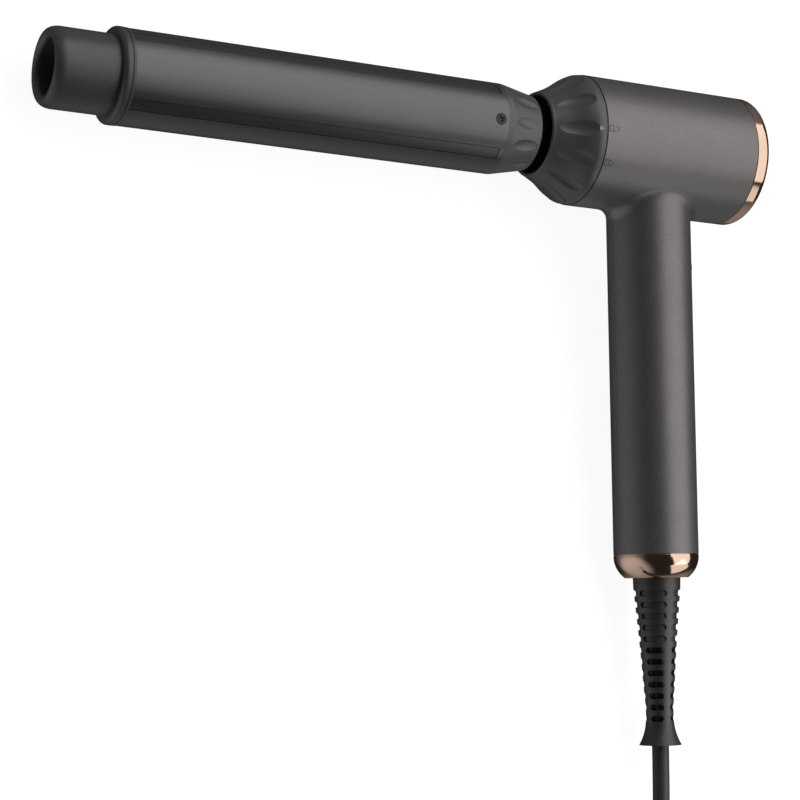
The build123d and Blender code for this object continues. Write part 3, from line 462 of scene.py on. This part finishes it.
def padlock(x, opened, angle):
    """Plain padlock in outline: a box and a bowed shackle towards the rear, lifted when it is open."""
    half, long, slit = 1.45, 2.0, 0.02
    bow, width = 0.85, 0.24
    frame_out = [(x, slit), (x, half), (x + long, half), (x + long, -half), (x, -half), (x, -slit)]
    frame_in = [(x + width, slit), (x + width, half - width), (x + long - width, half - width),
                (x + long - width, width - half), (x + width, width - half), (x + width, -slit)]
    block = ribbon(frame_out, frame_in, head_radius, angle)
    legs = (0.9, 0.9) if not opened else (1.5, 0.5)
    inner, outer = [(x + long, -bow)], [(x + long, -bow - width)]
    reach = x + long + legs[0]
    for i in range(9):
        a = pi * i / 8
        inner.append((reach + bow * sin(a), -bow * cos(a)))
        outer.append((reach + (bow + width) * sin(a), -(bow + width) * cos(a)))
    inner.append((reach - legs[1], bow))
    outer.append((reach - legs[1], bow + width))
    return [block, ribbon(inner, outer, head_radius, angle)]


MARK_X, OPEN_ANGLE, SHUT_ANGLE = -36.2, 1.0, -29.0     # just behind the ring, a lock's turn apart
printed("lock_marks", padlock(MARK_X, True, OPEN_ANGLE) + padlock(MARK_X, False, SHUT_ANGLE), faint_mark,
        "body")

# ---------------------------------------------------------------- floor, world and lights
floor_shader = Shader("floor", (0.30, 0.30, 0.30), 0.0, 0.7)
floor_shader.colour(floor_shader.ranged(floor_shader.noise(3, 4), 0.98, 1.02))
floor_shader.bsdf.inputs["Emission Color"].default_value = (1, 1, 1, 1)
floor_shader.bsdf.inputs["Emission Strength"].default_value = 0.93
FLOOR_HALF = 6.0
floor_corners = [(FLOOR_HALF * x, FLOOR_HALF * y, 0) for x, y in ((-1, -1), (1, -1), (1, 1), (-1, 1))]
floor = new_piece("floor", floor_corners, [(0, 1, 2, 3)], floor_shader.material, smooth=False)
floor.visible_glossy = floor.visible_diffuse = floor.visible_transmission = floor.visible_shadow = False

world = bpy.data.worlds.new("studio")
bpy.context.scene.world = world
world.use_nodes = True
sky = world.node_tree


def glow(axis, low, high, strength):
    """Soft brightness towards one side of the studio."""
    dot = sky.nodes.new("ShaderNodeVectorMath")
    dot.operation = "DOT_PRODUCT"
    sky.links.new(directions, dot.inputs[0])
    dot.inputs[1].default_value = axis
    ramp = sky.nodes.new("ShaderNodeMapRange")
    ramp.interpolation_type = "SMOOTHSTEP"
    for index, value in enumerate((low, high, 0.0, strength), start=1):
        ramp.inputs[index].default_value = value
    sky.links.new(dot.outputs["Value"], ramp.inputs[0])
    return ramp.outputs[0]


def total(a, b):
    """Sum of two brightnesses, each a node's output or a number."""
    node = sky.nodes.new("ShaderNodeMath")
    for value, socket in zip((a, b), node.inputs):
        if isinstance(value, float):
            socket.default_value = value
        else:
            sky.links.new(value, socket)
    return node.outputs[0]


directions = sky.nodes.new("ShaderNodeTexCoord").outputs["Generated"]
LOWER_LEFT = (IMAGE_UP * -0.60 - IMAGE_RIGHT * 0.75 - LOOK * 0.10).normalized()
LOWER_BACK = (IMAGE_UP * -0.80 + IMAGE_RIGHT * 0.15 + LOOK * 0.58).normalized()
studio = total(total(glow(LOWER_LEFT, 0.62, 0.92, 0.34), glow(-IMAGE_RIGHT, 0.45, 0.95, 0.13)),
               total(glow(IMAGE_UP, 0.35, 0.95, 0.14), glow(LOWER_BACK, 0.75, 0.97, 0.22)))
background = sky.nodes["Background"]
sky.links.new(total(studio, 0.018), background.inputs["Strength"])
background.inputs["Color"].default_value = (1.0, 1.0, 1.0, 1)


def softbox(name, right, up, back, distance, size, radiance, aim=AIM, colour=(1, 1, 1)):
    """Area light placed by its direction as the camera sees it: right, up and back towards it."""
    direction = (IMAGE_RIGHT * right + IMAGE_UP * up - LOOK * back).normalized()
    data = bpy.data.lights.new(name, "AREA")
    data.shape = "RECTANGLE"
    data.size, data.size_y = size
    data.energy = radiance * pi * size[0] * size[1]
    data.color = colour
    lamp = bpy.data.objects.new(name, data)
    bpy.context.scene.collection.objects.link(lamp)
    lamp.location = aim + direction * distance
    lamp.visible_camera = False
    lamp.rotation_euler = direction.to_track_quat("Z", "Y").to_euler()
    return lamp


softbox("key", 0.84, 0.33, 0.42, 1.5, (3.6, 1.8), 1.04, colour=(1.0, 0.995, 0.985))
softbox("cap_card", 0.78, -0.58, 0.25, 0.28, (0.22, 0.20), 0.85, aim=place(9, -180, 0))
bpy.context.scene.view_settings.view_transform = "Standard"
